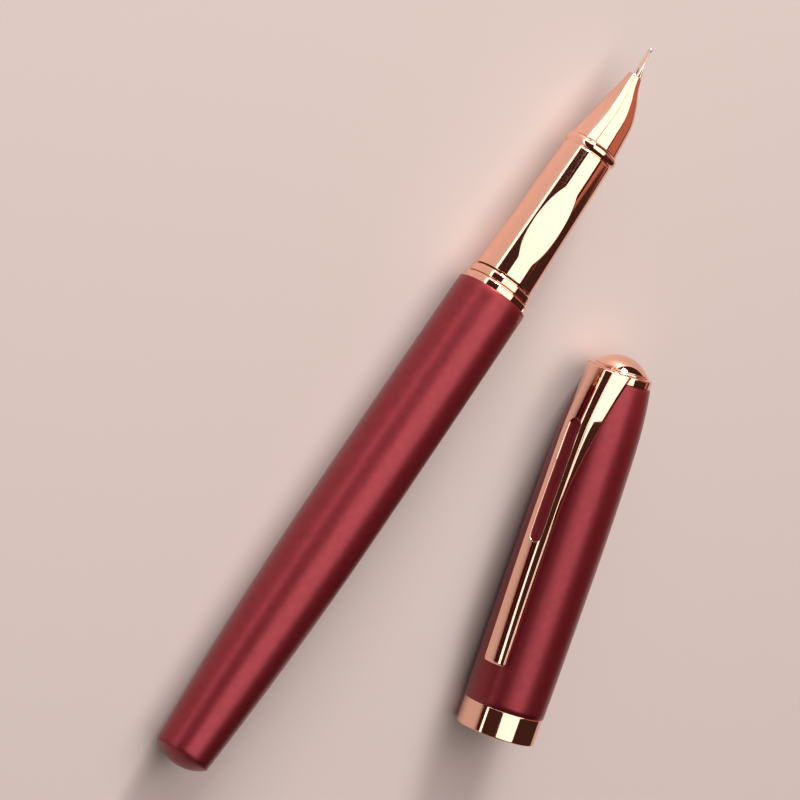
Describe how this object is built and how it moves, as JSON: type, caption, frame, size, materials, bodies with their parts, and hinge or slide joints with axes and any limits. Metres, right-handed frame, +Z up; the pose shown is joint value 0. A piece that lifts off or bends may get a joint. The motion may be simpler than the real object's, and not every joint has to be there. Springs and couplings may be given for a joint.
{
  "type": "fountain pen",
  "caption": "Slim metal fountain pen with its cap off and lying beside it, hooded nib, screw-in grip section with a piston converter inside, and a sprung pocket clip.",
  "frame": {"origin": "centre of the whole object's footprint, on the surface it lies on", "axes": "+Z up; the cap lies along X with its mouth facing +X; the pen lies beside it on the -Y side, turned 16.5 degrees about Z, its nib towards -X"},
  "size_m": [0.1176, 0.0672, 0.0126],
  "materials": {
    "burgundy_lacquer": "satin",
    "rose_gold": "polished",
    "nib_gold": "polished",
    "tipping_alloy": "satin",
    "brass": "machined",
    "black_plastic": "satin",
    "clear_plastic": "clear",
    "bright_steel": "polished",
    "rubber": "matte"
  },
  "bodies": {
    "barrel": {"barrel_tube": "burgundy_lacquer", "tail_plug": "burgundy_lacquer", "thread_bush": "brass"},
    "joint_ring": {"joint_ring": "rose_gold"},
    "collar_ring": {"collar_ring": "rose_gold"},
    "section": {"grip_shell": "rose_gold", "section_core": "black_plastic", "collector": "black_plastic", "ink_tube": "black_plastic", "feed_nipple": "black_plastic", "seal_ring": "rubber", "nib_hood": "rose_gold", "nib": "nib_gold", "nib_tipping": "tipping_alloy", "feed": "black_plastic"},
    "converter": {"converter_tube": "clear_plastic", "converter_mouth": "black_plastic", "converter_sleeve": "bright_steel", "agitator_ball": "bright_steel"},
    "knob": {"converter_knob": "black_plastic", "drive_nut": "black_plastic"},
    "piston": {"piston_rod": "black_plastic", "piston_seal": "rubber"},
    "cap": {"cap_tube": "burgundy_lacquer", "lip_ring": "rose_gold", "clutch_ring": "bright_steel", "inner_cap": "black_plastic", "cap_bush": "brass", "crown_ring": "rose_gold", "finial_dome": "rose_gold", "finial_screw": "bright_steel"},
    "clip": {"clip": "rose_gold", "clip_inlay": "burgundy_lacquer"}
  },
  "joints": [
    {"name": "section_withdraw", "type": "slide", "parent": "barrel", "child": "joint_ring", "axis": [-0.9367, 0.3502, 0], "range_m": [0, 0.058]},
    {"name": "section_advance", "type": "slide", "parent": "joint_ring", "child": "collar_ring", "axis": [-0.9367, 0.3502, 0], "range_m": [0, 0.006]},
    {"name": "section_turn", "type": "hinge", "parent": "collar_ring", "child": "section", "pos_m": [-0.03062, 0.00305, 0.00565], "axis": [-0.9367, 0.3502, 0], "range_deg": [0, 2160]},
    {"name": "converter_pull", "type": "slide", "parent": "section", "child": "converter", "axis": [0.9367, -0.3502, 0], "range_m": [0, 0.012]},
    {"name": "knob_turn", "type": "hinge", "parent": "converter", "child": "knob", "pos_m": [0.02746, -0.01866, 0.00565], "axis": [-0.9367, 0.3502, 0], "range_deg": [0, 2880]},
    {"name": "piston_travel", "type": "slide", "parent": "converter", "child": "piston", "axis": [-0.9367, 0.3502, 0], "range_m": [0, 0.018]},
    {"name": "cap_slide", "type": "slide", "parent": "barrel", "child": "cap", "axis": [1, 0, 0], "range_m": [0, 0.045]},
    {"name": "clip_flex", "type": "hinge", "parent": "cap", "child": "clip", "pos_m": [-0.0112, 0.02234, 0.00773], "axis": [0, -0.2756, -0.9613], "range_deg": [0, 3], "stiffness_Nm_per_rad": 1.5}
  ],
  "couplings": [
    {"joint": "section_turn", "follows": "section_advance", "rad_per_m": 6283.2},
    {"joint": "knob_turn", "follows": "piston_travel", "rad_per_m": 2792.5}
  ]
}
